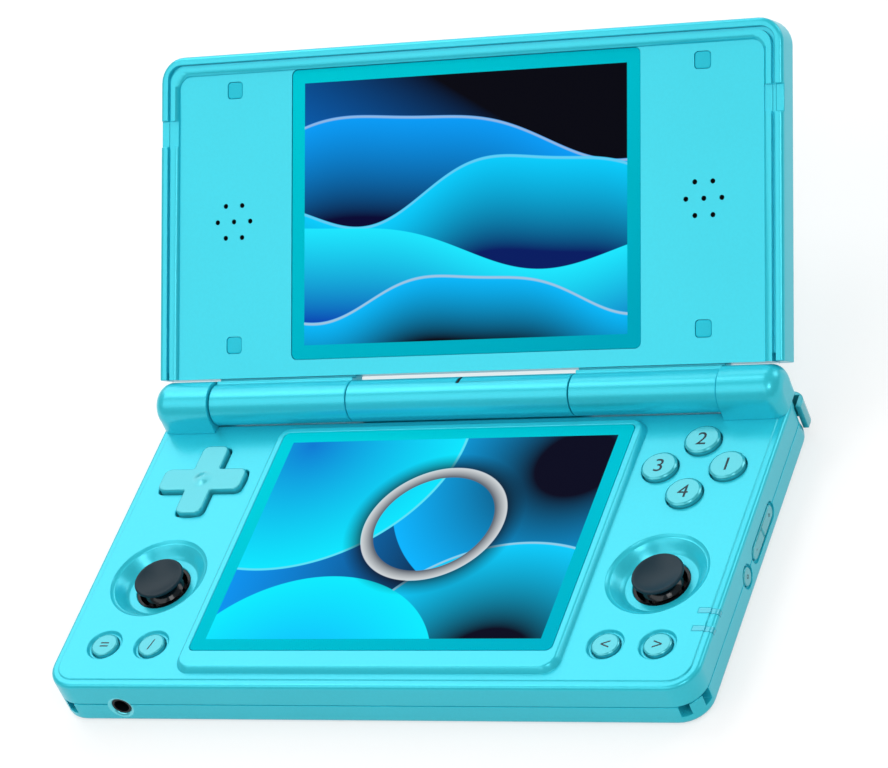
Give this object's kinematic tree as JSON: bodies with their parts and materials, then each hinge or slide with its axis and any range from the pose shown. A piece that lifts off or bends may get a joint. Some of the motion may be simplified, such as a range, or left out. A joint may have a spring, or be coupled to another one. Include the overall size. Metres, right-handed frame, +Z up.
{
  "type": "clamshell handheld game console",
  "caption": "Folding handheld game console with a screen in lid and base, direction pad, face buttons, two sticks and a friction hinge.",
  "frame": {"origin": "centre of the base's flat underside, in the middle of its 160 by 91 mm footprint", "axes": "+X to the right along the hinge, +Y to the back, +Z up"},
  "size_m": [0.1618, 0.1507, 0.0732],
  "materials": {
    "shell_cyan": "satin pearl lacquer over moulded plastic",
    "glass_border": "back-printed teal border under clear cover glass",
    "display": "lit display module",
    "stick_charcoal": "matt charcoal, dished and slightly rubbery",
    "dark_plastic": "matt black moulding",
    "steel_part": "plated steel",
    "circuit_board": "solder-masked glass-fibre laminate",
    "battery_foil": "silver pouch foil",
    "copper_sheet": "copper heat spreader",
    "silicone": "translucent silicone",
    "foot_rubber": "soft black rubber",
    "plug_teal": "soft teal rubber",
    "light_pipe": "translucent cyan light guide"
  },
  "bodies": {
    "base": {"lower_shell": "shell_cyan", "upper_shell": "shell_cyan", "hinge_ends": "shell_cyan", "hinge_cover": "shell_cyan", "hinge_pins": "steel_part", "hinge_bushes": "steel_part", "hinge_flex_cable": "dark_plastic", "lower_glass": "glass_border", "lower_display": "display", "main_board": "circuit_board", "battery": "battery_foil", "heat_spreader": "copper_sheet", "button_membranes": "silicone", "headphone_jack": "dark_plastic", "charging_port": "steel_part", "card_slot": "steel_part", "microphone": "steel_part", "status_light_pipes": "light_pipe", "side_switches": "steel_part", "shoulder_switches": "steel_part", "case_screws": "steel_part", "rubber_feet": "foot_rubber", "stick_left_housing": "dark_plastic", "stick_right_housing": "dark_plastic"},
    "lid": {"lid_shell": "shell_cyan", "lid_panel_frame": "shell_cyan", "upper_glass": "glass_border", "upper_display": "display", "speakers": "dark_plastic", "lid_screws": "steel_part", "screw_plugs": "plug_teal", "lid_magnet": "steel_part", "speaker_gaskets": "silicone"},
    "pad_pivot": {"pad_pivot": "dark_plastic"},
    "direction_pad": {"direction_pad": "shell_cyan"},
    "stick_left_gimbal": {"stick_left_gimbal": "steel_part"},
    "stick_left_rocker": {"stick_left_rocker": "dark_plastic"},
    "stick_left_cap": {"stick_left_cap": "stick_charcoal"},
    "stick_right_gimbal": {"stick_right_gimbal": "steel_part"},
    "stick_right_rocker": {"stick_right_rocker": "dark_plastic"},
    "stick_right_cap": {"stick_right_cap": "stick_charcoal"},
    "face_button_top": {"face_button_top": "shell_cyan"},
    "face_button_left": {"face_button_left": "shell_cyan"},
    "face_button_right": {"face_button_right": "shell_cyan"},
    "face_button_bottom": {"face_button_bottom": "shell_cyan"},
    "small_button_1": {"small_button_1": "shell_cyan"},
    "small_button_2": {"small_button_2": "shell_cyan"},
    "small_button_3": {"small_button_3": "shell_cyan"},
    "small_button_4": {"small_button_4": "shell_cyan"},
    "volume_rocker": {"volume_rocker": "shell_cyan"},
    "power_button": {"power_button": "shell_cyan"},
    "shoulder_left_outer": {"shoulder_left_outer": "shell_cyan"},
    "shoulder_left_inner": {"shoulder_left_inner": "shell_cyan"},
    "shoulder_right_outer": {"shoulder_right_outer": "shell_cyan"},
    "shoulder_right_inner": {"shoulder_right_inner": "shell_cyan"}
  },
  "joints": [
    {"name": "lid_hinge", "type": "hinge", "parent": "base", "child": "lid", "pos_m": [0, 0.04, 0.016], "axis": [-1, 0, 0], "range_deg": [-138, 22]},
    {"name": "pad_tilt_x", "type": "hinge", "parent": "base", "child": "pad_pivot", "pos_m": [-0.0621, 0.0182, 0.009], "axis": [1, 0, 0], "range_deg": [-4, 4], "stiffness_Nm_per_rad": 0.12},
    {"name": "pad_tilt_y", "type": "hinge", "parent": "pad_pivot", "child": "direction_pad", "pos_m": [-0.0621, 0.0182, 0.009], "axis": [0, 1, 0], "range_deg": [-4, 4], "stiffness_Nm_per_rad": 0.12},
    {"name": "stick_left_tilt_x", "type": "hinge", "parent": "base", "child": "stick_left_gimbal", "pos_m": [-0.0624, -0.0123, 0.0042], "axis": [1, 0, 0], "range_deg": [-12, 12], "stiffness_Nm_per_rad": 0.03},
    {"name": "stick_left_tilt_y", "type": "hinge", "parent": "stick_left_gimbal", "child": "stick_left_rocker", "pos_m": [-0.0624, -0.0123, 0.0042], "axis": [0, 1, 0], "range_deg": [-12, 12], "stiffness_Nm_per_rad": 0.03},
    {"name": "stick_left_press", "type": "slide", "parent": "stick_left_rocker", "child": "stick_left_cap", "axis": [0, 0, -1], "range_m": [0, 0.0003], "stiffness_N_per_m": 4000},
    {"name": "stick_right_tilt_x", "type": "hinge", "parent": "base", "child": "stick_right_gimbal", "pos_m": [0.0624, -0.0123, 0.0042], "axis": [1, 0, 0], "range_deg": [-12, 12], "stiffness_Nm_per_rad": 0.03},
    {"name": "stick_right_tilt_y", "type": "hinge", "parent": "stick_right_gimbal", "child": "stick_right_rocker", "pos_m": [0.0624, -0.0123, 0.0042], "axis": [0, 1, 0], "range_deg": [-12, 12], "stiffness_Nm_per_rad": 0.03},
    {"name": "stick_right_press", "type": "slide", "parent": "stick_right_rocker", "child": "stick_right_cap", "axis": [0, 0, -1], "range_m": [0, 0.0003], "stiffness_N_per_m": 4000},
    {"name": "face_button_top_press", "type": "slide", "parent": "base", "child": "face_button_top", "axis": [0, 0, -1], "range_m": [0, 0.0008], "stiffness_N_per_m": 900},
    {"name": "face_button_left_press", "type": "slide", "parent": "base", "child": "face_button_left", "axis": [0, 0, -1], "range_m": [0, 0.0008], "stiffness_N_per_m": 900},
    {"name": "face_button_right_press", "type": "slide", "parent": "base", "child": "face_button_right", "axis": [0, 0, -1], "range_m": [0, 0.0008], "stiffness_N_per_m": 900},
    {"name": "face_button_bottom_press", "type": "slide", "parent": "base", "child": "face_button_bottom", "axis": [0, 0, -1], "range_m": [0, 0.0008], "stiffness_N_per_m": 900},
    {"name": "small_button_1_press", "type": "slide", "parent": "base", "child": "small_button_1", "axis": [0, 0, -1], "range_m": [0, 0.0005], "stiffness_N_per_m": 1500},
    {"name": "small_button_2_press", "type": "slide", "parent": "base", "child": "small_button_2", "axis": [0, 0, -1], "range_m": [0, 0.0005], "stiffness_N_per_m": 1500},
    {"name": "small_button_3_press", "type": "slide", "parent": "base", "child": "small_button_3", "axis": [0, 0, -1], "range_m": [0, 0.0005], "stiffness_N_per_m": 1500},
    {"name": "small_button_4_press", "type": "slide", "parent": "base", "child": "small_button_4", "axis": [0, 0, -1], "range_m": [0, 0.0005], "stiffness_N_per_m": 1500},
    {"name": "volume_rock", "type": "hinge", "parent": "base", "child": "volume_rocker", "pos_m": [0.0779, 0.0063, 0.005], "axis": [0, 0, 1], "range_deg": [-2, 2], "stiffness_Nm_per_rad": 0.3},
    {"name": "power_button_press", "type": "slide", "parent": "base", "child": "power_button", "axis": [-1, 0, 0], "range_m": [0, 0.0004], "stiffness_N_per_m": 2500},
    {"name": "shoulder_left_outer_press", "type": "slide", "parent": "base", "child": "shoulder_left_outer", "axis": [0, -1, 0], "range_m": [0, 0.0008], "stiffness_N_per_m": 1200},
    {"name": "shoulder_left_inner_press", "type": "slide", "parent": "base", "child": "shoulder_left_inner", "axis": [0, -1, 0], "range_m": [0, 0.0008], "stiffness_N_per_m": 1200},
    {"name": "shoulder_right_outer_press", "type": "slide", "parent": "base", "child": "shoulder_right_outer", "axis": [0, -1, 0], "range_m": [0, 0.0008], "stiffness_N_per_m": 1200},
    {"name": "shoulder_right_inner_press", "type": "slide", "parent": "base", "child": "shoulder_right_inner", "axis": [0, -1, 0], "range_m": [0, 0.0008], "stiffness_N_per_m": 1200}
  ]
}
